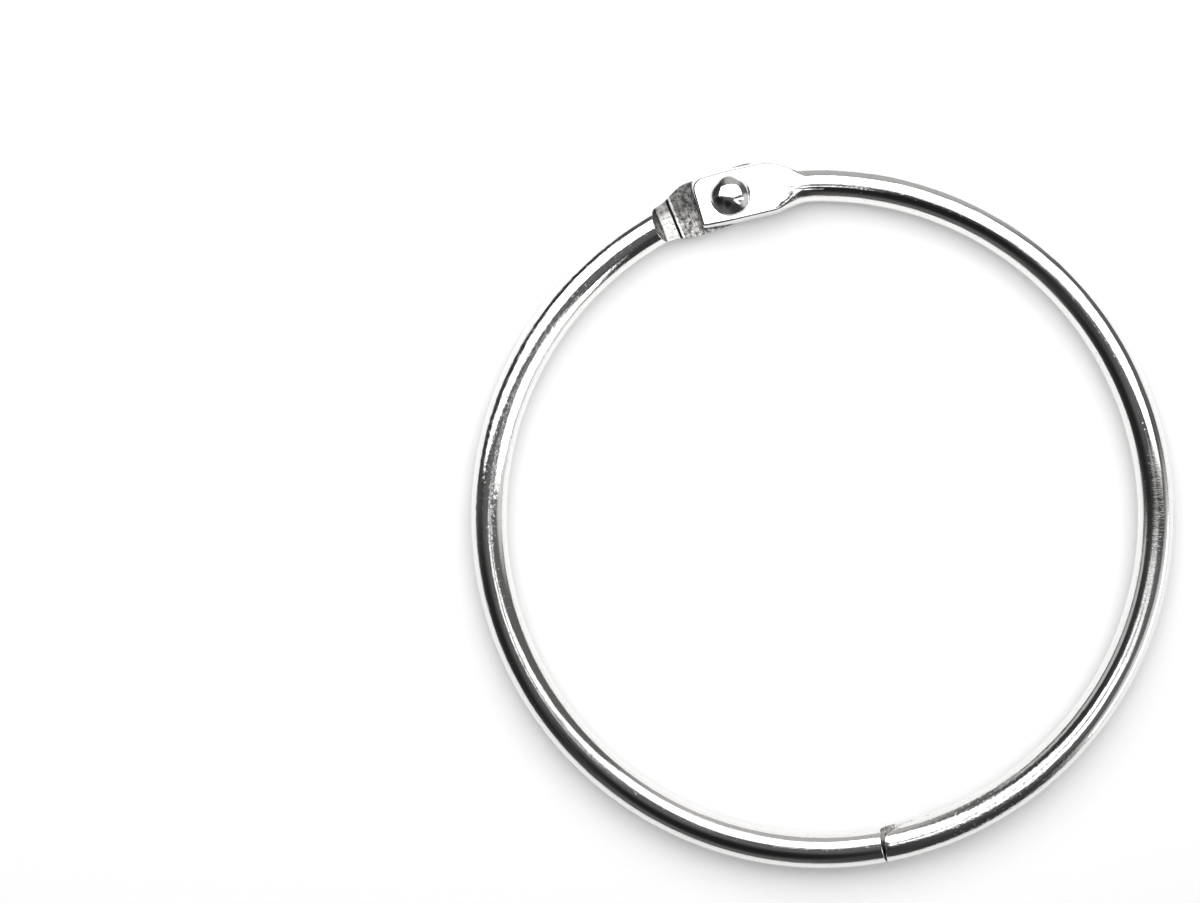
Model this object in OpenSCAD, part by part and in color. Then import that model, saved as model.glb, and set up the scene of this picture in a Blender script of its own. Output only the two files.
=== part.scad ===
// Binder ring: two identical sprung wire halves, riveted at one end and hooked together at the other.
// The ring lies flat. Its centre is the origin, the lapped faces meet at z = 0, the rivet stands on +Y
// and the clasp is on -Y. The second half is the first one turned over about the Y axis.

/* [Ring] */
// Clear diameter inside the ring
inside_d = 51.1; // [44:0.1:64]
// Diameter of the wire
wire_d = 2.9; // [2.6:0.05:3.4]
// Space left between the two halves where their faces lap
lap_gap = 0.06; // [0.04:0.01:0.1]

/* [Hinge tab] */
// Distance from the rivet to the square end of the tab
tab_end = 3.0; // [2.6:0.05:3.4]
// Width of the tab across the rivet
tab_w = 4.45; // [4:0.05:5]
// Width of the tab where it starts to narrow
neck_w = 4.4; // [3.8:0.05:4.8]
// Width lost on the inside of the ring between the rivet and the tab's end
end_taper = 0.22; // [0:0.01:0.4]
// Distance from the rivet to where the tab starts to narrow
neck_at = 3.0; // [2.4:0.1:3.4]
// Distance from the rivet to where the wire is round again
root_at = 5.6; // [4.9:0.1:5.9]
// Radius of the tab's corner on the outside of the ring
outer_corner = 1.1; // [0.6:0.05:1.5]
// Radius of the tab's corner on the inside of the ring
inner_corner = 0.4; // [0.38:0.01:0.8]
// Radius of the rim round the pressed face
rim_r = 0.36; // [0.15:0.01:0.37]

/* [Lap step] */
// Distance from the rivet to the groove at the end of the lapped face
lap_at = 4.8; // [4.2:0.05:5]
// Length of the ledge past the groove
ledge_len = 1.2; // [0.8:0.05:1.6]
// Height of the ledge above the lapped face
ledge_rise = 0.12; // [0.05:0.01:0.2]
// Length of the ramp from the ledge up to the full wire
ramp_len = 0.6; // [0.4:0.05:1]
// Angle of the step across the wire, measured from the ring's radius at the rivet
step_skew = 6; // [0:0.5:10]
// Width of the fine groove
groove_w = 0.16; // [0.1:0.01:0.25]
// Depth of the fine groove
groove_d = 0.1; // [0.05:0.01:0.15]

/* [Rivet] */
// Diameter of the shank
shank_d = 1.6; // [1.2:0.05:1.9]
// Space between the shank and its holes, on the radius
shank_clearance = 0.05; // [0.02:0.01:0.08]
// Diameter of the domed head
head_d = 3.3; // [2.8:0.05:3.6]
// Height of the domed head
head_h = 0.95; // [0.6:0.05:1.2]
// Height of the straight edge under the dome
head_edge = 0.15; // [0.08:0.01:0.25]
// Space between the head and the tab that turns under it
head_gap = 0.04; // [0.02:0.01:0.08]
// Diameter of the peened tail
tail_d = 2.4; // [2.2:0.05:2.8]
// Height of the peened tail
tail_h = 0.45; // [0.3:0.05:0.6]
// Depth of the dimple that the peening tool leaves in the tail
dimple_h = 0.16; // [0.08:0.01:0.22]

/* [Clasp] */
// Distance from the clasp's middle to where the full wire is cut away
cut_at = 2.84; // [2.5:0.01:3.2]
// Height of the steep wall at the top of the cut
wall_h = 0.9; // [0.5:0.05:1.1]
// Lean of that wall along the wire
wall_lean = 0.18; // [0.02:0.01:0.3]
// Length of the ramp from the foot of that wall down to the slot
cut_len = 1.3; // [1:0.05:1.6]
// Depth of the slot below the lapped face
slot_depth = 0.4; // [0.25:0.01:0.5]
// Lean of the catch face from the slot to the top of the hump
catch_lean = 0.26; // [0.1:0.01:0.4]
// Space between the nose and the ramp that it closes on, along the wire
nose_gap = 0.08; // [0.06:0.01:0.25]
// Radius of the edge round the top of the nose
nose_r = 0.28; // [0.1:0.01:0.4]
// Width taken off the inner side of the nose at its end
nose_relief = 0.42; // [0.05:0.01:0.5]
// Angle at which that relief runs out to the wire's full width
relief_slant = 17; // [15:0.5:25]
// Radius of the nose's corner on the inside of the ring
nose_inner_r = 0.9; // [0.5:0.05:1.1]
// Radius of the nose's corner on the outside of the ring
nose_outer_r = 0.35; // [0.2:0.05:0.6]

/* [Hidden] */
$fn = 96;
blend_fn = 40;
wire_r = wire_d / 2;
ring_r = (inside_d + wire_d) / 2;
face_z = lap_gap / 2;
reach = wire_d;
blend_proud = 0.01;
bore_d = shank_d + 2 * shank_clearance;
root_angle = asin(root_at / ring_r);
tip_angle = ceil(asin((cut_at + wire_r) / ring_r));
ledge_z = face_z - ledge_rise;
slot_z = slot_depth;
hump_z = lap_gap - slot_depth;
wall_z = wire_r - wall_h;
cut_rate = cut_len / (wall_z + slot_z);
cut_angle = asin(cut_at / ring_r);
nose_at = cut_at - wall_lean - nose_gap;
nose_angle = asin(nose_at / ring_r);
nose_foot = cut_rate * (wall_z - hump_z);
edge_z = wire_r + 2 * blend_proud - nose_r;
catch_at = groove_w / 4;

// A disc with a rounded rim, as thick as the wire: one of the forms that the tab is stretched over.
module rimmed_disc(r) {
    for (side = [-1, 1])
        translate([0, 0, side * (wire_r - rim_r)])
            rotate_extrude($fn = blend_fn) intersection() {
                translate([r - rim_r, 0]) circle(rim_r);
                translate([0, -rim_r]) square([r, 2 * rim_r]);
            }
}

// A thin slice square to the wire, at an angle from the rivet, that stands just proud of the wire.
module wire_slice(angle) {
    rotate([0, 0, -angle]) translate([0, ring_r, 0])
        rotate([0, 90, 0]) cylinder(h = rim_r, r = wire_r + blend_proud, center = true, $fn = blend_fn);
}

// The wire pressed wide at the hinge: square end, two unlike corners, and a neck back to the round wire.
module pressed_tab() {
    neck_y = sqrt(ring_r * ring_r - neck_at * neck_at) - ring_r;
    hull() {
        translate([outer_corner - tab_end, ring_r + tab_w / 2 - outer_corner, 0]) rimmed_disc(outer_corner);
        translate([inner_corner - tab_end, ring_r + inner_corner + end_taper - tab_w / 2, 0])
            rimmed_disc(inner_corner);
        translate([0, ring_r, 0]) rimmed_disc(tab_w / 2);
        translate([neck_at, ring_r + neck_y, 0]) rimmed_disc(neck_w / 2);
        wire_slice(root_angle);
    }
}

// The round wire from the hinge's neck to past the clasp's middle.
module bent_wire() {
    rotate([0, 0, -90 - tip_angle])
        rotate_extrude(angle = 180 + tip_angle - root_angle) translate([ring_r, 0]) circle(wire_r);
}

// What is pressed and milled away under the tab: lapped face, groove, ledge and ramp.
module lap_step() {
    far = tab_end + reach;
    ramp_at = lap_at + ledge_len;
    ramp_rate = ramp_len / (wire_r + ledge_z);
    translate([0, ring_r, 0]) rotate([0, 0, -step_skew]) rotate([90, 0, 0])
        linear_extrude(height = tab_w + 2 * reach, center = true)
            polygon([
                [-far, -reach], [-far, face_z], [lap_at, face_z],
                [lap_at + groove_w / 2, face_z + groove_d], [lap_at + groove_w, ledge_z],
                [ramp_at, ledge_z], [ramp_at + ramp_rate * (reach + ledge_z), -reach]
            ]);
}

// A cutter with the profile that is given it, laid across the wire at an angle from the clasp's middle.
module across_wire(angle) {
    rotate([0, 0, angle]) translate([0, -ring_r, 0]) rotate([90, 0, 0])
        linear_extrude(height = wire_d + reach, center = true) children();
}

// What is cut away at the clasp, below: slot, groove, catch and hump, then the root's ramp and the tip's.
module hook_cut() {
    across_wire(0) polygon([
        [cut_at - cut_len, -reach], [cut_at - cut_len, slot_z],
        [groove_w - catch_at, slot_z], [groove_w / 2 - catch_at, slot_z + groove_d],
        [-catch_at, slot_z], [-catch_at - catch_lean, hump_z], [-cut_at, hump_z], [-cut_at, -reach]
    ]);
    across_wire(cut_angle) polygon([
        [wall_lean * (reach - wire_r) / wall_h, -reach], [-wall_lean, -wall_z],
        [-wall_lean - cut_len, slot_z], [-wall_lean - cut_len, -reach]
    ]);
    across_wire(-nose_angle) polygon([
        [nose_foot, -reach], [nose_foot, hump_z], [nose_foot - cut_rate * (reach - hump_z), reach],
        [-3 * reach, reach], [-3 * reach, -reach]
    ]);
}

// The nose seen from above: its end on the Y axis, facing +X, with the outside of the ring towards -Y.
module nose_outline() {
    inner_c = [-nose_inner_r, wire_r - nose_relief - nose_inner_r];
    outer_c = [-nose_outer_r, nose_outer_r - wire_r];
    touch = inner_c + nose_inner_r * [sin(relief_slant), cos(relief_slant)];
    translate(inner_c) circle(nose_inner_r);
    translate(outer_c) circle(nose_outer_r);
    polygon([
        touch + 2 * reach * [-cos(relief_slant), sin(relief_slant)], touch, inner_c, [0, inner_c.y],
        [0, outer_c.y], outer_c, [outer_c.x, -wire_r], [outer_c.x, -reach], [-2 * reach, -reach]
    ]);
}

// What the trimming die takes off the nose: its end, its inner side, two corners, and its top edge.
module nose_trim() {
    rotate([0, 0, -nose_angle]) translate([0, -ring_r, 0]) mirror([1, 0, 0]) {
        linear_extrude(height = 2 * reach, center = true) difference() {
            translate([-3 * nose_at / 2, -reach]) square([cut_at + 3 * reach, 2 * reach]);
            nose_outline();
        }
        rotate([90, 0, 0]) linear_extrude(height = wire_d + reach, center = true) difference() {
            translate([-nose_r, edge_z]) square(reach);
            translate([-nose_r, edge_z]) circle(nose_r);
        }
    }
}

module right_half() {
    color("silver") difference() {
        union() {
            bent_wire();
            pressed_tab();
        }
        lap_step();
        hook_cut();
        nose_trim();
        translate([0, ring_r, 0]) cylinder(h = 2 * reach, d = bore_d, center = true);
    }
}

module left_half() {
    rotate([0, 180, 0]) right_half();
}

// Domed head over the upper tab, shank through both, and a peened tail seated on the lower tab.
module rivet() {
    head_z = wire_r + head_gap;
    tail_z = -wire_r - tail_h;
    shank_z = -wire_r - tail_h / 3;
    cap_h = head_h - head_edge;
    cap_r = (head_d * head_d / 4 + cap_h * cap_h) / (2 * cap_h);
    color("gainsboro") translate([0, ring_r, 0]) {
        translate([0, 0, shank_z]) cylinder(h = head_z + head_edge - shank_z, d = shank_d);
        translate([0, 0, head_z]) intersection() {
            cylinder(h = head_h, d = head_d);
            translate([0, 0, head_h - cap_r]) sphere(cap_r);
        }
        difference() {
            translate([0, 0, tail_z]) cylinder(h = tail_h, d1 = tail_d - tail_h, d2 = tail_d);
            translate([0, 0, tail_z]) cylinder(h = dimple_h, d1 = shank_d, d2 = shank_d / 2);
        }
    }
}

right_half();
left_half();
rivet();
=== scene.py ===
"""The looks of a binder ring: two sprung wire halves, the rivet between them, a table and the lamps.

The ring's middle is the origin and the ring lies flat. The rivet stands on +Y and the clasp is on -Y.
Lengths in this script are in millimetres until a mesh is finished, and in metres after that.
"""

from collections import namedtuple
from math import asin, atan2, copysign, cos, degrees, hypot, pi, radians, sin, sqrt, tan

import bmesh
import bpy
from mathutils import Matrix, Vector


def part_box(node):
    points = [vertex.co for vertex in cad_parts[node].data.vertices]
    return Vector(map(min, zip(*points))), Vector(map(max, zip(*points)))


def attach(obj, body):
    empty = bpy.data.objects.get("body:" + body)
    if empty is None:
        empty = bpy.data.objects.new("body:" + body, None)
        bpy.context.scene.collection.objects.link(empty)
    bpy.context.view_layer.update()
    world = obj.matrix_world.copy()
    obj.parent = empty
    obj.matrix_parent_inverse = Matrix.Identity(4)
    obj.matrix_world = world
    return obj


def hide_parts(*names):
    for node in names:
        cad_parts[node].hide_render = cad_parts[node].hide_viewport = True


MM = 0.001
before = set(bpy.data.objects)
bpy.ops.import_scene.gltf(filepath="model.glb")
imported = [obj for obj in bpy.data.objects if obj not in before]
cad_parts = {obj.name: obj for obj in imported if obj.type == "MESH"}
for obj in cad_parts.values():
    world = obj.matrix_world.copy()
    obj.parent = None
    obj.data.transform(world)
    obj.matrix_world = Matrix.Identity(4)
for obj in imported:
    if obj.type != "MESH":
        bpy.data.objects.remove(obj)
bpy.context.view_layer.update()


def box_mm(node):
    """Lowest and highest corner of a node, in millimetres."""
    low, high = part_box(node)
    return Vector(low) / MM, Vector(high) / MM


# ---------------------------------------------------------------- sizes, in millimetres

RIVET_LOW, RIVET_HIGH = box_mm("rivet")
HALF_LOW, HALF_HIGH = box_mm("right_half")

RING_R = (RIVET_LOW.y + RIVET_HIGH.y) / 2
WIRE_R = HALF_HIGH.x - RING_R
LAP_GAP = 0.06
FACE_Z = LAP_GAP / 2
REACH = 2 * WIRE_R

# The pressed tab at the hinge, measured from the rivet
TAB_END = -HALF_LOW.x
TAB_W = 2 * (HALF_HIGH.y - RING_R)
NECK_W = 4.4
NECK_AT = 3.0
NECK_START = NECK_AT + 0.04
OUTER_ROOT_AT = 5.6
INNER_ROOT_AT = 6.6
RIM_FULL_AT, OUTER_FINE_AT, INNER_FINE_AT = 6.2, 4.7, 3.4
END_TAPER = 0.22
OUTER_CORNER = 1.1
INNER_CORNER = 0.4
BORE_R = 0.85
# Its rim: a fine edge, then a side that leans out to the middle of the wire's height
EDGE_R = 0.2
SIDE_LEAN = 0.18

# The step that the other half's tab lies in
LAP_AT = 4.8
LEDGE_LEN = 1.2
LEDGE_Z = FACE_Z - 0.12
RAMP_AT = LAP_AT + LEDGE_LEN
RAMP_LEN = 0.6
STEP_SKEW = radians(6)
GROOVE_W = 0.16
GROOVE_D = 0.1

# The hooks at the clasp, measured from its middle
CUT_AT = 2.84
WALL_H = 0.9
WALL_LEAN = 0.18
CUT_LEN = 1.3
SLOT_Z = 0.4
HUMP_Z = LAP_GAP - SLOT_Z
CATCH_LEAN = 0.26
CATCH_AT = GROOVE_W / 4
NOSE_GAP = 0.08
NOSE_R = 0.28
NOSE_RELIEF = 0.42
RELIEF_SLANT = radians(17)
NOSE_INNER_R = 0.9
NOSE_OUTER_R = 0.35
NOSE_AT = CUT_AT - WALL_LEAN - NOSE_GAP
TIP_ANGLE = asin((CUT_AT + WIRE_R) / RING_R)

# The rivet
SHANK_R = 0.8
HEAD_R = (RIVET_HIGH.x - RIVET_LOW.x) / 2
HEAD_GAP = 0.04
HEAD_EDGE = 0.15
TAIL_R = 1.2
TAIL_TAPER = 0.225
DIMPLE_H = 0.16

# How wide the sharp edges are broken, and how short an edge is merged away after cutting
BROKEN_EDGE = 0.03
SLIVER = 0.02
# How near two points count as one, and a point counts as on the wire's middle line
SAME_POINT = 0.0005
ON_MIDDLE = 0.001

# How finely curves are divided
ROUND_SIDES = 64
RING_STEPS = 150
SIDE_STEPS, EDGE_STEPS, FLAT_STEPS = 6, 6, 4
NECK_STEPS = 24
ARC_STEPS, DOME_STEPS = 12, 16

# Up to these angles, in degrees, two faces shade as one; the cut halves take the second
SMOOTH_TO, CUT_SMOOTH_TO = 30, 28
# From this angle, in degrees, an edge is broken
SOFTEN_FROM = 35

# Handling marks, and a darker patch on the top of the wire, as angles round the ring's middle from +X
RUB_FROM, RUB_FULL = radians(-46), radians(-34)
RUB_TO, RUB_FADES = radians(2), radians(-10)
SCUFF_AT, SCUFF_REACH = radians(-74), radians(28)
DULL_AT, DULL_REACH = radians(146), radians(48)
TOP_DARK_AT, TOP_DARK_REACH = radians(-12), radians(17)
TOP_DARK_UP = (1.15, 1.38)

# Marks on the upper tab's neck, right of the rivet and out from it: a crease's start, end and width
LONG_CREASE = (4.9, -0.88), (7.4, -1.5), 0.1
SHORT_CREASE = (4.2, -0.45), (5.1, -0.75), 0.07
CRINKLE_AT, CRINKLE_REACH = (5.2, -1.7), 0.65


# ---------------------------------------------------------------- shader maths

class Shade:
    """A shader socket that Python's arithmetic works on. Each step adds a Math node."""

    def __init__(self, tree, socket):
        self.tree = tree
        self.socket = socket

    def node(self, kind, settings=None, inputs=None, out=0):
        """Adds any other node: its type, its settings, and the values or links of its sockets."""
        node = self.tree.nodes.new(kind)
        for name, value in (settings or {}).items():
            setattr(node, name, value)
        for name, value in (inputs or {}).items():
            plug(self.tree, node.inputs[name], value)
        return Shade(self.tree, node.outputs[out])

    def math(self, operation, *values):
        return self.node("ShaderNodeMath", {"operation": operation}, dict(enumerate((self,) + values)))

    def __add__(self, other):
        return self.math("ADD", other)

    def __sub__(self, other):
        return self.math("SUBTRACT", other)

    def __rsub__(self, other):
        return self * -1 + other

    def __mul__(self, other):
        return self.math("MULTIPLY", other)

    def __truediv__(self, other):
        return self.math("DIVIDE", other)

    __radd__ = __add__
    __rmul__ = __mul__

    def fade(self, start, end):
        """0 up to start and 1 past end, with a smooth step between; start may be the larger one."""
        settings = {"interpolation_type": "SMOOTHSTEP", "clamp": True}
        return self.node("ShaderNodeMapRange", settings, {0: self, 1: start, 2: end, 3: 0.0, 4: 1.0})


def plug(tree, socket, value):
    """Links a shade to a socket, or sets the socket's own value."""
    if isinstance(value, Shade):
        tree.links.new(value.socket, socket)
    else:
        socket.default_value = value


def grey(value, warmth=0.0):
    """An opaque grey, with that share more red and less blue."""
    return (value * (1 + warmth), value, value * (1 - warmth), 1)


def new_material(name, metallic, colour, roughness):
    """A material with its shader's own values; returns it, its shader and a start for the maths."""
    material = bpy.data.materials.new(name)
    material.use_nodes = True
    tree = material.node_tree
    shader = tree.nodes["Principled BSDF"]
    shader.inputs["Metallic"].default_value = metallic
    shader.inputs["Base Color"].default_value = colour
    shader.inputs["Roughness"].default_value = roughness
    return material, shader, Shade(tree, None)


Place = namedtuple("Place", "spot x y z angle along across reach")


def object_spot(shade):
    """Object coordinates in millimetres."""
    spot = shade.node("ShaderNodeTexCoord", out=3)
    return shade.node("ShaderNodeVectorMath", {"operation": "SCALE"}, {0: spot, 3: 1 / MM})


def place_on_ring(shade):
    """Object coordinates in millimetres, and a second set that runs along the wire and round it."""
    spot = object_spot(shade)
    parts = shade.node("ShaderNodeSeparateXYZ", inputs={0: spot})
    x, y, z = [Shade(shade.tree, socket) for socket in parts.socket.node.outputs]
    reach = (x * x + y * y).math("SQRT")
    angle = y.math("ARCTAN2", x)
    along = angle * RING_R
    across = z.math("ARCTAN2", reach - RING_R) * WIRE_R
    return Place(spot, x, y, z, angle, along, across, reach)


def noise(shade, spot, scale, detail=3, roughness=0.5):
    """Smooth noise with about that many bumps to the millimetre."""
    inputs = {"Vector": spot, "Scale": scale, "Detail": detail, "Roughness": roughness}
    return shade.node("ShaderNodeTexNoise", None, inputs)


def streaks(shade, along, across, length, width, detail=3):
    """Noise drawn out one way: a streak is about that long and that wide."""
    stretched = shade.node("ShaderNodeCombineXYZ", inputs={0: along / length, 1: across / width})
    return noise(shade, stretched, 1.0, detail)


def near_angle(angle, middle, reach):
    """1 at an angle round the ring and 0 past that reach to either side of it."""
    return (angle - middle).math("ABSOLUTE").fade(reach, 0.0)


def finish_shader(shader, shade, roughness, height, strength, colour=None):
    """Links what changes over a surface to the shader's sockets."""
    tree = shade.tree
    bump = shade.node("ShaderNodeBump", None, {"Height": height, "Strength": strength, "Distance": MM})
    plug(tree, shader.inputs["Roughness"], roughness)
    plug(tree, shader.inputs["Normal"], bump)
    if colour is not None:
        plug(tree, shader.inputs["Base Color"], colour)


def mix_colours(shade, factor, first, second):
    """Goes from the first colour to the second as the factor goes from 0 to 1."""
    return shade.node("ShaderNodeMix", {"data_type": "RGBA"}, {0: factor, 6: first, 7: second}, out=2)


def line_mark(at, start, end, width):
    """1 on a line between two points and 0 away from it, in millimetres from the rivet."""
    run, rise = end[0] - start[0], end[1] - start[1]
    length = hypot(run, rise)
    run, rise = run / length, rise / length
    right, out = at.x - start[0], at.y - RING_R - start[1]
    along = right * run + out * rise
    aside = (out * run - right * rise).math("ABSOLUTE")
    return aside.fade(width, 0.0) * along.fade(-0.3, 0.1) * along.fade(length + 0.3, length - 0.1)


def round_mark(at, centre, radius):
    """1 at a point and 0 past that radius from it, in millimetres from the rivet."""
    right, out = at.x - centre[0], at.y - RING_R - centre[1]
    return (right * right + out * out).math("SQRT").fade(radius, radius * 0.3)


def neck_marks(shade, at):
    """The height of the creases and the crinkled metal where the upper tab narrows to the wire."""
    crease = line_mark(at, *LONG_CREASE) + line_mark(at, *SHORT_CREASE)
    dents = noise(shade, at.spot, 3.2, 3, 0.6)
    crinkle = round_mark(at, CRINKLE_AT, CRINKLE_REACH)
    return (dents - 0.5) * crinkle * 0.13 - crease * at.z.fade(0.0, 0.5) * 0.04


def bright_plate():
    """Bright nickel on drawn wire: near a mirror, with faint streaks, specks, handling marks and a
    darker patch on the wire's top.
    """
    material, shader, shade = new_material("bright_nickel_plate", 1.0, grey(0.84, 0.012), 0.09)
    at = place_on_ring(shade)
    fine = streaks(shade, at.along, at.across, 3.0, 0.07)
    broad = streaks(shade, at.along, at.across, 12.0, 0.45)
    grain = streaks(shade, at.along, at.across, 0.36, 0.17, 4)
    rub = streaks(shade, at.across, at.along, 2.2, 0.07, 4)
    patches = noise(shade, at.spot, 0.16, 3).fade(0.47, 0.62)
    specks = noise(shade, at.spot, 4.5, 1).fade(0.64, 0.76)

    rubbed = at.angle.fade(RUB_FROM, RUB_FULL) * at.angle.fade(RUB_TO, RUB_FADES)
    scuffed = near_angle(at.angle, SCUFF_AT, SCUFF_REACH)
    dulled = near_angle(at.angle, DULL_AT, DULL_REACH)
    # A darker colour on the top of the wire round that angle
    top_darkened = near_angle(at.angle, TOP_DARK_AT, TOP_DARK_REACH) * at.z.fade(*TOP_DARK_UP)
    worn = patches * 0.5 + scuffed * 1.5 + dulled

    roughness = 0.045 + patches * 0.03 + specks * 0.14 + rubbed * 0.03
    roughness = roughness + worn * grain.fade(0.56, 0.7) * 0.2
    height = (fine - 0.5) * 0.009 + (broad - 0.5) * 0.03 - specks * 0.006
    height = height + (grain - 0.5) * worn * 0.028 + (rub - 0.5) * rubbed * 0.016
    # The colour is darkened by the specks and by the patch on the wire's top
    darkening = (specks * 0.3).math("MAXIMUM", top_darkened * (0.6 + rub * 0.6))
    colour = mix_colours(shade, darkening, grey(0.86, 0.012), grey(0.26, 0.02))
    finish_shader(shader, shade, roughness, height + neck_marks(shade, at), 0.4, colour)
    return material


def step_light_and_shade(at, tone):
    """Paints light and shade into a tone: highlights on the ledge and lip, shade in the groove and
    outward, lighter at the clasp.
    """
    from_rivet = at.x.math("ABSOLUTE") - (at.y - RING_R) * tan(STEP_SKEW)
    past_groove = from_rivet.fade(LAP_AT + 0.05, LAP_AT + 0.3)
    ledge_highlight = past_groove * from_rivet.fade(RAMP_AT + 0.1, RAMP_AT - 0.1)
    in_groove = from_rivet.fade(LAP_AT - 0.03, LAP_AT + 0.03)
    groove = in_groove * from_rivet.fade(LAP_AT + 0.2, LAP_AT + 0.12)
    before_groove = from_rivet.fade(LAP_AT - 0.24, LAP_AT - 0.14)
    lip = before_groove * from_rivet.fade(LAP_AT, LAP_AT - 0.06)
    outer_shade = (at.reach - RING_R).fade(-1.3, 0.6)
    outer_end = (at.reach - RING_R).fade(0.2, 0.9)
    at_hinge = at.y.fade(0.0, 1.0)

    # Painted highlight on the ledge, and painted shade towards the ring's outer side
    tone = tone * (1 - outer_shade * 0.72) + ledge_highlight * at_hinge * (1 - outer_end * 0.8) * 0.8
    # Painted highlight line along the lip, and painted shade in the groove
    tone = (tone + lip * at_hinge * (1 - outer_shade * 0.3) * 0.8) * (1 - groove * at_hinge)
    # Painted light: the stamped faces at the clasp, in the gap's shade, are made lighter
    return tone + (1 - at_hinge) * 0.5


def stamped_plate():
    """The faces that the die leaves: duller, darker and mottled, with marks across the wire, and with
    painted light and shade.
    """
    material, shader, shade = new_material("stamped_nickel_plate", 1.0, grey(0.4, 0.015), 0.3)
    at = place_on_ring(shade)
    mottle = noise(shade, at.spot, 2.6, 4, 0.6)
    grit = noise(shade, at.spot, 8.0, 2)
    comb = streaks(shade, at.reach, at.along, 1.3, 0.14)
    # The mottle and marks are the metal's own tone; the step's light and shade are painted into it
    tone = step_light_and_shade(at, mottle.fade(0.36, 0.66) * 0.75 + comb.fade(0.5, 0.75) * 0.35)
    colour = mix_colours(shade, tone, grey(0.05, 0.02), grey(0.88, 0.015))
    roughness = 0.24 + mottle.fade(0.35, 0.7) * 0.1
    height = (mottle - 0.5) * 0.05 + (grit - 0.5) * 0.012 + (comb - 0.5) * 0.035
    finish_shader(shader, shade, roughness, height, 0.6, colour)
    return material


def rivet_plate():
    """The rivet's plate: bright, over a crown that the setting tool has dented a little."""
    material, shader, shade = new_material("rivet_nickel_plate", 1.0, grey(0.82, 0.012), 0.1)
    spot = object_spot(shade)
    dents = noise(shade, spot, 0.9, 0)
    grit = noise(shade, spot, 7.0, 3)
    roughness = 0.07 + grit.fade(0.5, 0.8) * 0.2
    height = (dents - 0.5) * 0.2 + (grit - 0.5) * 0.004
    finish_shader(shader, shade, roughness, height, 0.5)
    return material


def table_white():
    return new_material("white_table", 0.0, grey(0.9), 0.6)[0]


# ---------------------------------------------------------------- forms

def new_piece(name, bm, material):
    """Makes an object of a bmesh in millimetres, shades it smooth and puts it in the scene."""
    bmesh.ops.scale(bm, vec=(MM, MM, MM), verts=bm.verts)
    bmesh.ops.recalc_face_normals(bm, faces=bm.faces)
    mesh = bpy.data.meshes.new(name)
    bm.to_mesh(mesh)
    bm.free()
    mesh.materials.append(material)
    mesh.shade_smooth()
    mesh.set_sharp_from_angle(angle=radians(SMOOTH_TO))
    piece = bpy.data.objects.new(name, mesh)
    bpy.context.scene.collection.objects.link(piece)
    return piece


def circle(bm, radius, matrix):
    """A ring of points round the matrix's place, in its level; returns the points."""
    made = bmesh.ops.create_circle(bm, segments=ROUND_SIDES, radius=radius, matrix=matrix)
    return made["verts"]


def rim_profile():
    """The rim's points from its widest level up to the flat, as (inset, height) pairs."""
    shoulder = WIRE_R - EDGE_R
    side = []
    for step in range(SIDE_STEPS + 1):
        height = shoulder * step / SIDE_STEPS
        side.append((SIDE_LEAN * (height / shoulder) ** 2, height))
    edge = []
    for step in range(1, EDGE_STEPS + 1):
        lean = pi / 2 * step / EDGE_STEPS
        edge.append((SIDE_LEAN + EDGE_R * (1 - cos(lean)), shoulder + EDGE_R * sin(lean)))
    return side + edge


RIM = rim_profile()


def rimmed_disc(bm, radius, x, y):
    """The levels of a disc with the tab's rim, as thick as the wire."""
    for side in (-1, 1):
        for inset, height in RIM:
            circle(bm, radius - inset, Matrix.Translation((x, y, side * height)))


def ease(start, end, at):
    """0 at the start and 1 at the end, easing in and out."""
    part = min(max((at - start) / (end - start), 0), 1)
    return part * part * (3 - 2 * part)


def pressed_point(turn, half_width):
    """Where a point of the round wire is pressed to; its turn is 0 at the side and 1 at the top."""
    place = turn * (SIDE_STEPS + EDGE_STEPS + FLAT_STEPS)
    last = len(RIM) - 1
    if place >= last:
        across = (half_width - RIM[last][0]) * (1 - (place - last) / FLAT_STEPS)
        return across, WIRE_R
    step = int(place)
    part = place - step
    inset, height = [low + (high - low) * part for low, high in zip(RIM[step], RIM[step + 1])]
    return half_width - inset, height


def wire_section(bm, at):
    """The wire's section that far from the rivet: round, or pressed wide and flat nearer the tab."""
    ring = circle(bm, WIRE_R, Matrix.Rotation(pi / 2, 4, "X"))
    outer_pressed = ease(RIM_FULL_AT, OUTER_FINE_AT, at)
    inner_pressed = ease(RIM_FULL_AT, INNER_FINE_AT, at)
    spread = NECK_W / 2 - WIRE_R
    outer = spread * ease(OUTER_ROOT_AT, NECK_AT, at)
    inner = spread * ease(INNER_ROOT_AT, NECK_AT, at)
    for vert in ring:
        across, up = vert.co.x, vert.co.z
        wider, pressed = (outer, outer_pressed) if across > 0 else (inner, inner_pressed)
        flat_across, flat_up = pressed_point(atan2(abs(up), abs(across)) / (pi / 2), WIRE_R + wider)
        if abs(across) > ON_MIDDLE:
            round_across = abs(across) + wider
            vert.co.x = copysign(round_across + (flat_across - round_across) * pressed, across)
        vert.co.z = copysign(abs(up) + (flat_up - abs(up)) * pressed, up)
    turn = Matrix.Rotation(pi / 2 - asin(at / RING_R), 4, "Z") @ Matrix.Translation((RING_R, 0, 0))
    bmesh.ops.transform(bm, matrix=turn, verts=ring)
    return ring


def loop_edges(ring):
    """The edges that join a section's own points."""
    inside = set(ring)
    return list({edge for vert in ring for edge in vert.link_edges
                 if edge.verts[0] in inside and edge.verts[1] in inside})


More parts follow.
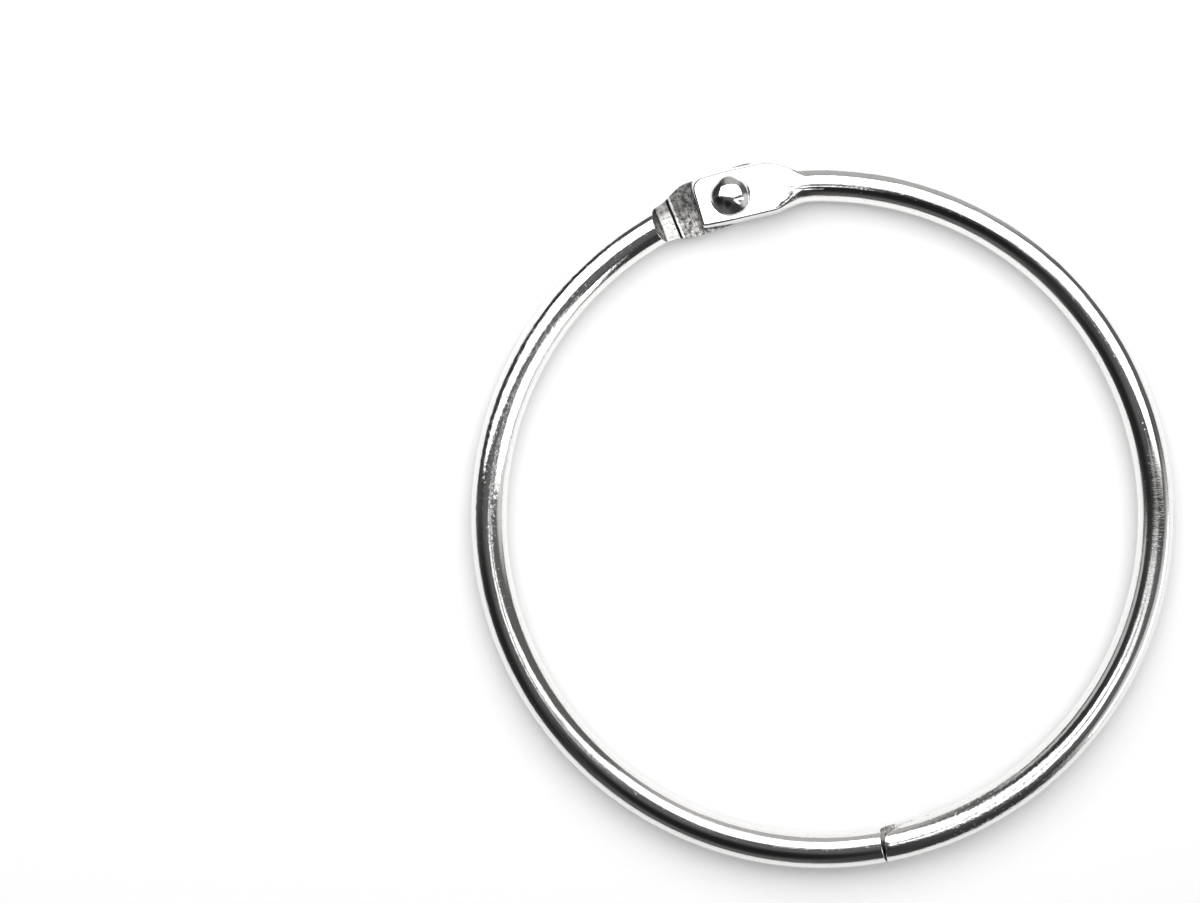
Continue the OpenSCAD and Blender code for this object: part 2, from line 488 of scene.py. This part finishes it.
def pressed_tab(bm):
    """The flat of the tab, cut off square to the wire at its neck; returns the edges round that cut."""
    edge = RING_R + TAB_W / 2
    inner = RING_R - TAB_W / 2 + END_TAPER
    rimmed_disc(bm, OUTER_CORNER, OUTER_CORNER - TAB_END, edge - OUTER_CORNER)
    rimmed_disc(bm, INNER_CORNER, INNER_CORNER - TAB_END, inner + INNER_CORNER)
    rimmed_disc(bm, TAB_W / 2, 0, RING_R)
    rimmed_disc(bm, NECK_W / 2, NECK_AT, sqrt(RING_R ** 2 - NECK_AT ** 2))
    hull = bmesh.ops.convex_hull(bm, input=bm.verts)
    left_over = hull["geom_interior"] + hull["geom_unused"]
    loose = [v for v in left_over if isinstance(v, bmesh.types.BMVert)]
    bmesh.ops.delete(bm, geom=list(set(loose)), context="VERTS")
    square_on = Vector((sqrt(RING_R ** 2 - NECK_AT ** 2), -NECK_AT, 0)).normalized()
    bmesh.ops.bisect_plane(bm, geom=bm.verts[:] + bm.edges[:] + bm.faces[:], plane_co=(0, 0, 0),
                           plane_no=square_on, clear_outer=True)
    return [e for e in bm.edges if e.is_boundary]


def draw_neck(bm, tab_edges):
    """Joins the tab to the round wire, section by section; returns the last section."""
    edges = tab_edges
    for step in range(NECK_STEPS + 1):
        at = NECK_START + (INNER_ROOT_AT - NECK_AT) * step / NECK_STEPS
        ring = wire_section(bm, at)
        bmesh.ops.bridge_loops(bm, edges=edges + loop_edges(ring))
        edges = loop_edges(ring)
    return ring, at


def round_wire(bm, ring, at):
    """The round wire from the tab's neck to past the clasp's middle."""
    sweep = pi - asin(at / RING_R) + TIP_ANGLE
    spun = bmesh.ops.spin(bm, geom=ring + loop_edges(ring), cent=(0, 0, 0), axis=(0, 0, -1),
                          angle=sweep, steps=RING_STEPS)
    end = [e for e in spun["geom_last"] if isinstance(e, bmesh.types.BMEdge)]
    bmesh.ops.edgeloop_fill(bm, edges=end)


def prism(name, outline, turn, material):
    """A cutter: an outline of (along, up) points, drawn out across the wire, then turned into place."""
    bm = bmesh.new()
    corners = [bm.verts.new((along, -REACH, up)) for along, up in outline]
    face = bm.faces.new(corners)
    drawn = bmesh.ops.extrude_face_region(bm, geom=[face])
    top = [v for v in drawn["geom"] if isinstance(v, bmesh.types.BMVert)]
    bmesh.ops.translate(bm, vec=(0, 2 * REACH, 0), verts=top)
    bmesh.ops.transform(bm, matrix=turn, verts=bm.verts)
    return new_piece(name, bm, material)


def lap_step(material):
    """What is pressed and milled away under the tab: lapped face, groove, ledge and ramp."""
    far = TAB_END + REACH
    ramp_rate = RAMP_LEN / (WIRE_R + LEDGE_Z)
    outline = [
        (-far, -REACH), (-far, FACE_Z), (LAP_AT, FACE_Z),
        (LAP_AT + GROOVE_W / 2, FACE_Z + GROOVE_D), (LAP_AT + GROOVE_W, LEDGE_Z),
        (RAMP_AT, LEDGE_Z), (RAMP_AT + ramp_rate * (REACH + LEDGE_Z), -REACH),
    ]
    turn = Matrix.Translation((0, RING_R, 0)) @ Matrix.Rotation(-STEP_SKEW, 4, "Z")
    return [prism("cut_lap", outline, turn, material)]


def at_clasp(angle):
    """A place on the wire's middle line, that far round from the clasp's middle."""
    return Matrix.Rotation(angle, 4, "Z") @ Matrix.Translation((0, -RING_R, 0))


def hook_cuts(material):
    """What is cut away below at the clasp: the slot with its catch, then the ramps on either side."""
    wall_z = WIRE_R - WALL_H
    cut_rate = CUT_LEN / (wall_z + SLOT_Z)
    foot = cut_rate * (wall_z - HUMP_Z)
    slot = [
        (CUT_AT - CUT_LEN, -REACH), (CUT_AT - CUT_LEN, SLOT_Z), (GROOVE_W - CATCH_AT, SLOT_Z),
        (GROOVE_W / 2 - CATCH_AT, SLOT_Z + GROOVE_D), (-CATCH_AT, SLOT_Z),
        (-CATCH_AT - CATCH_LEAN, HUMP_Z), (-CUT_AT, HUMP_Z), (-CUT_AT, -REACH),
    ]
    root_ramp = [
        (WALL_LEAN * (REACH - WIRE_R) / WALL_H, -REACH), (-WALL_LEAN, -wall_z),
        (-WALL_LEAN - CUT_LEN, SLOT_Z), (-WALL_LEAN - CUT_LEN, -REACH),
    ]
    tip_ramp = [
        (foot, -REACH), (foot, HUMP_Z), (foot - cut_rate * (REACH - HUMP_Z), REACH),
        (-3 * REACH, REACH), (-3 * REACH, -REACH),
    ]
    return [
        prism("cut_slot", slot, at_clasp(0), material),
        prism("cut_root_ramp", root_ramp, at_clasp(asin(CUT_AT / RING_R)), material),
        prism("cut_tip_ramp", tip_ramp, at_clasp(-asin(NOSE_AT / RING_R)), material),
    ]


def arc(centre, radius, start, end, steps=ARC_STEPS):
    """Points on an arc between two angles in degrees."""
    turns = [radians(start + (end - start) * step / steps) for step in range(steps + 1)]
    return [(centre[0] + radius * cos(turn), centre[1] + radius * sin(turn)) for turn in turns]


def nose_cuts(material):
    """What the trimming die takes off the nose: end, inner side, two corners and top edge."""
    inner_c = (-NOSE_INNER_R, WIRE_R - NOSE_RELIEF - NOSE_INNER_R)
    outer_c = (-NOSE_OUTER_R, NOSE_OUTER_R - WIRE_R)
    side = arc(inner_c, NOSE_INNER_R, 90 - degrees(RELIEF_SLANT), 0)
    back = (side[0][0] - REACH * cos(RELIEF_SLANT), side[0][1] + REACH * sin(RELIEF_SLANT))
    front = arc(outer_c, NOSE_OUTER_R, 0, -90)
    around = [(-NOSE_OUTER_R, -REACH), (REACH, -REACH), (REACH, REACH), (back[0], REACH)]
    plan = [back] + side + front + around
    edge_z = WIRE_R - NOSE_R
    crest = arc((-NOSE_R, edge_z), NOSE_R, 90, 0) + [(REACH, edge_z), (REACH, REACH), (-NOSE_R, REACH)]
    flip = Matrix.Diagonal((-1, 1, 1, 1))
    place = at_clasp(-asin(NOSE_AT / RING_R)) @ flip
    stand_up = Matrix.Rotation(-pi / 2, 4, "X")
    return [
        prism("cut_nose_plan", plan, place @ stand_up, material),
        prism("cut_nose_crest", crest, place, material),
    ]


def bore(material):
    """The hole through the tab for the rivet."""
    bm = bmesh.new()
    place = Matrix.Translation((0, RING_R, 0))
    bmesh.ops.create_cone(bm, cap_ends=True, segments=ROUND_SIDES, radius1=BORE_R, radius2=BORE_R,
                          depth=2 * REACH, matrix=place)
    return [new_piece("cut_bore", bm, material)]


def cut(piece, cutters):
    """Takes the cutters out of a piece; each cut face keeps its cutter's material."""
    for cutter in cutters:
        step = piece.modifiers.new(cutter.name, "BOOLEAN")
        step.operation = "DIFFERENCE"
        step.solver = "EXACT"
        step.material_mode = "TRANSFER"
        step.object = cutter
    depsgraph = bpy.context.evaluated_depsgraph_get()
    done = bpy.data.meshes.new_from_object(piece.evaluated_get(depsgraph))
    piece.modifiers.clear()
    piece.data = done
    for cutter in cutters:
        bpy.data.objects.remove(cutter)
    merge_slivers(done)


def merge_slivers(mesh):
    """Takes out the tiny edges that cutting leaves, so that the broken edges come out even."""
    bm = bmesh.new()
    bm.from_mesh(mesh)
    bmesh.ops.remove_doubles(bm, verts=bm.verts, dist=SLIVER * MM)
    bmesh.ops.dissolve_degenerate(bm, edges=bm.edges, dist=SLIVER * MM)
    bm.to_mesh(mesh)
    bm.free()


def soften_edges(piece):
    """Breaks the sharp edges a little, and lets the flat faces shade flat."""
    broken = piece.modifiers.new("broken_edges", "BEVEL")
    broken.limit_method = "ANGLE"
    broken.angle_limit = radians(SOFTEN_FROM)
    broken.width = BROKEN_EDGE * MM
    broken.segments = 2
    broken.use_clamp_overlap = False
    piece.modifiers.new("flat_shading", "WEIGHTED_NORMAL").keep_sharp = True


def make_right_half(plate, stamped):
    """One half of the ring: tab, neck, wire and hook."""
    bm = bmesh.new()
    round_wire(bm, *draw_neck(bm, pressed_tab(bm)))
    half = new_piece("right_half_wire", bm, plate)
    cut(half, lap_step(stamped) + hook_cuts(stamped) + nose_cuts(stamped) + bore(stamped))
    half.data.set_sharp_from_angle(angle=radians(CUT_SMOOTH_TO))
    return half


def turn_over(half, name):
    """The second half: the first one turned over about the Y axis."""
    mesh = half.data.copy()
    mesh.transform(Matrix.Rotation(pi, 4, "Y"))
    piece = bpy.data.objects.new(name, mesh)
    bpy.context.scene.collection.objects.link(piece)
    return piece


def make_rivet(material):
    """Domed head, shank and peened tail, turned from one profile."""
    head_z = WIRE_R + HEAD_GAP
    crown = RIVET_HIGH.z - head_z - HEAD_EDGE
    dome_r = (HEAD_R ** 2 + crown ** 2) / (2 * crown)
    centre = (0, RIVET_HIGH.z - dome_r)
    brim = degrees(asin((head_z + HEAD_EDGE - centre[1]) / dome_r))
    tail_z = RIVET_LOW.z
    dimple_z = tail_z + DIMPLE_H
    profile = arc(centre, dome_r, 90, brim, DOME_STEPS) + [
        (HEAD_R, head_z), (SHANK_R, head_z), (SHANK_R, -WIRE_R), (TAIL_R, -WIRE_R),
        (TAIL_R - TAIL_TAPER, tail_z), (SHANK_R, tail_z), (SHANK_R / 2, dimple_z), (0, dimple_z),
    ]
    bm = bmesh.new()
    points = [bm.verts.new((r, RING_R, z)) for r, z in profile]
    edges = [bm.edges.new(pair) for pair in zip(points, points[1:])]
    bmesh.ops.spin(bm, geom=points + edges, cent=(0, RING_R, 0), axis=(0, 0, 1), angle=2 * pi,
                   steps=ROUND_SIDES, use_merge=True)
    bmesh.ops.remove_doubles(bm, verts=bm.verts, dist=SAME_POINT)
    return new_piece("rivet_turned", bm, material)


# ---------------------------------------------------------------- table, lamps and camera

# The view from above: its turn, its middle, its height, and how wide it reaches
VIEW_TURN = radians(-16.1)
VIEW_SIDE, VIEW_UP, VIEW_HEIGHT = -18.0, 5.3, 350
FRAME_WIDTH = 97.2
SENSOR_WIDTH = 36
NEAREST_SEEN = 10
TABLE_REACH = 1500


def seen(side, up, height):
    """A point given by its place in the picture, in metres from the ring's middle."""
    return Matrix.Rotation(VIEW_TURN, 3, "Z") @ Vector((side, up, height)) * MM


def make_camera():
    """Looks straight down, with the ring turned in the picture."""
    camera = bpy.data.objects.new("camera", bpy.data.cameras.new("camera"))
    camera.data.sensor_width = SENSOR_WIDTH
    camera.data.lens = SENSOR_WIDTH * VIEW_HEIGHT / FRAME_WIDTH
    camera.data.clip_start = NEAREST_SEEN * MM
    camera.location = seen(VIEW_SIDE, VIEW_UP, VIEW_HEIGHT)
    camera.rotation_euler = (0, 0, VIEW_TURN)
    bpy.context.scene.collection.objects.link(camera)
    bpy.context.scene.camera = camera


# How high the cards hang, and how bright a card is for its area: bright, softer and faint
CARD_HEIGHT = 230
CARD_LEVEL, SOFT_LEVEL, FAINT_LEVEL = 8, 5, 4


def make_lamp(name, side, up, height, width, depth, power, aim=None, turned=0):
    """A rectangle of light, turned that many degrees, that faces its aim or straight down."""
    light = bpy.data.lights.new(name, "AREA")
    light.shape = "RECTANGLE"
    light.size, light.size_y = width * MM, depth * MM
    light.energy = power
    lamp = bpy.data.objects.new(name, light)
    lamp.location = seen(side, up, height)
    squared = Matrix.Rotation(VIEW_TURN + radians(turned), 3, "Z")
    if aim is not None:
        beam = squared.inverted() @ (seen(*aim) - lamp.location)
        squared = squared @ beam.to_track_quat("-Z", "Y").to_matrix()
    lamp.rotation_euler = squared.to_euler()
    bpy.context.scene.collection.objects.link(lamp)
    return lamp


def make_table(material):
    """A plain level surface that the rivet's tail stands on."""
    bm = bmesh.new()
    bmesh.ops.create_grid(bm, x_segments=1, y_segments=1, size=TABLE_REACH)
    bmesh.ops.translate(bm, vec=(0, 0, RIVET_LOW.z), verts=bm.verts)
    table = new_piece("table_top", bm, material)
    return table


def towards(azimuth, tilt):
    """A direction, in degrees: its turn in the picture from the right, its tilt from straight up."""
    azimuth, tilt = radians(azimuth), radians(tilt)
    return seen(cos(azimuth) * sin(tilt), sin(azimuth) * sin(tilt), cos(tilt)) / MM


# Dark parts of the room: turn, tilt, where the dark begins and is full, and how dark it is
DARK_SPOTS = [
    (205, 58, 0.80, 1.0, 0.85),
    (256, 40, 0.84, 0.99, 0.88),
    (150, 84, 0.80, 0.95, 0.65),
    (300, 64, 0.84, 0.97, 0.65),
    (152, 52, 0.86, 0.98, 0.7),
]


def dim_room():
    """The room past the lamps: grey, lighter low down behind and to the right, with dark parts."""
    world = bpy.data.worlds.new("dim_room")
    world.use_nodes = True
    bpy.context.scene.world = world
    shade = Shade(world.node_tree, None)
    way = shade.node("ShaderNodeTexCoord", out=0)

    def facing(azimuth, tilt):
        inputs = {0: way, 1: towards(azimuth, tilt)}
        return shade.node("ShaderNodeVectorMath", {"operation": "DOT_PRODUCT"}, inputs, out=1)

    behind = facing(80, 80).fade(0.80, 0.95)
    beside = facing(-18, 76).fade(0.86, 0.97)
    first, *others = [facing(turn, tilt).fade(start, full) * depth
                      for turn, tilt, start, full, depth in DARK_SPOTS]
    dark = first
    for spot in others:
        dark = dark.math("MAXIMUM", spot)
    level = 0.12 * (1 - dark) + behind * 0.36 + beside * 0.6
    background = world.node_tree.nodes["Background"]
    plug(world.node_tree, background.inputs["Strength"], level)
    background.inputs["Color"].default_value = grey(1)


def make_card(name, side, up, width, depth, turned=0, level=CARD_LEVEL):
    """A card that hangs level over the table, with its brightness given by area."""
    power = level * width * depth * MM ** 2
    return make_lamp(name, side, up, CARD_HEIGHT, width, depth, power, turned=turned)


def light_only(lamps, *things):
    """Only these things catch the light of those lamps."""
    for lamp in lamps:
        group = bpy.data.collections.new(lamp.name + "_lights")
        for thing in things:
            group.objects.link(thing)
        lamp.light_linking.receiver_collection = group


def light_room(right, left, rivet, table):
    """Soft boxes for the table and the rivet, a fill for the table, and each half's own cards.

    A card's numbers are its place to the right and up in the picture, its width and its depth.
    A lamp's are its place and height, its width and depth, and its power.
    """
    dim_room()
    soft_boxes = [
        make_card("soft_box", 76, 184, 332, 322),
        make_card("soft_box_wing", -217, 184, 254, 322),
    ]
    fill = make_lamp("table_fill", 0, -120, 400, 500, 400, 0.78, aim=(-20, -10, 0))
    right_cards = [
        make_card("right_back", 114, 150, 352, 261),
        make_card("right_step", -22, 17, 84, 15, turned=-14, level=SOFT_LEVEL),
        make_card("right_front", 55, -49, 84, 64, turned=-22, level=SOFT_LEVEL),
        make_lamp("right_low", 362, -132, 52, 250, 72, 0.1, aim=(0, 0, 0)),
        make_lamp("right_far", -380, 220, 155, 500, 160, 0.113, aim=(0, 0, 0)),
    ]
    left_cards = [
        make_card("left_wing", -162, 195, 364, 300),
        make_card("left_back", 57, 186, 94, 318, level=SOFT_LEVEL),
        make_card("left_corner", 109, 207, 316, 170, turned=60, level=SOFT_LEVEL),
        make_card("left_strip", -24, -13, 44, 19, turned=8, level=FAINT_LEVEL),
        make_card("left_step", 46, 11, 52, 16, turned=27, level=SOFT_LEVEL),
        make_lamp("left_low", 229, -122, 150, 165, 150, 0.19, aim=(0, 0, 0)),
    ]
    side_cards = [
        make_card("side_back", 234, -47, 320, 42, turned=-6, level=SOFT_LEVEL),
        make_card("side_front", 196, -126, 250, 56, turned=-46, level=SOFT_LEVEL),
    ]
    light_only(soft_boxes, rivet, table)
    light_only([fill], table)
    light_only(right_cards, right)
    light_only(left_cards, left)
    light_only(side_cards, left, rivet)
    bpy.context.scene.view_settings.view_transform = "Standard"


# ---------------------------------------------------------------- the scene

make_camera()
table = make_table(table_white())

plate = bright_plate()
stamped = stamped_plate()
right = make_right_half(plate, stamped)
left = turn_over(right, "left_half_wire")
rivet = make_rivet(rivet_plate())
for piece in (right, left, rivet):
    soften_edges(piece)
light_room(right, left, rivet, table)

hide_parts("right_half")
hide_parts("left_half")
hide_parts("rivet")
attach(right, "right_half")
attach(left, "left_half")
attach(rivet, "left_half")
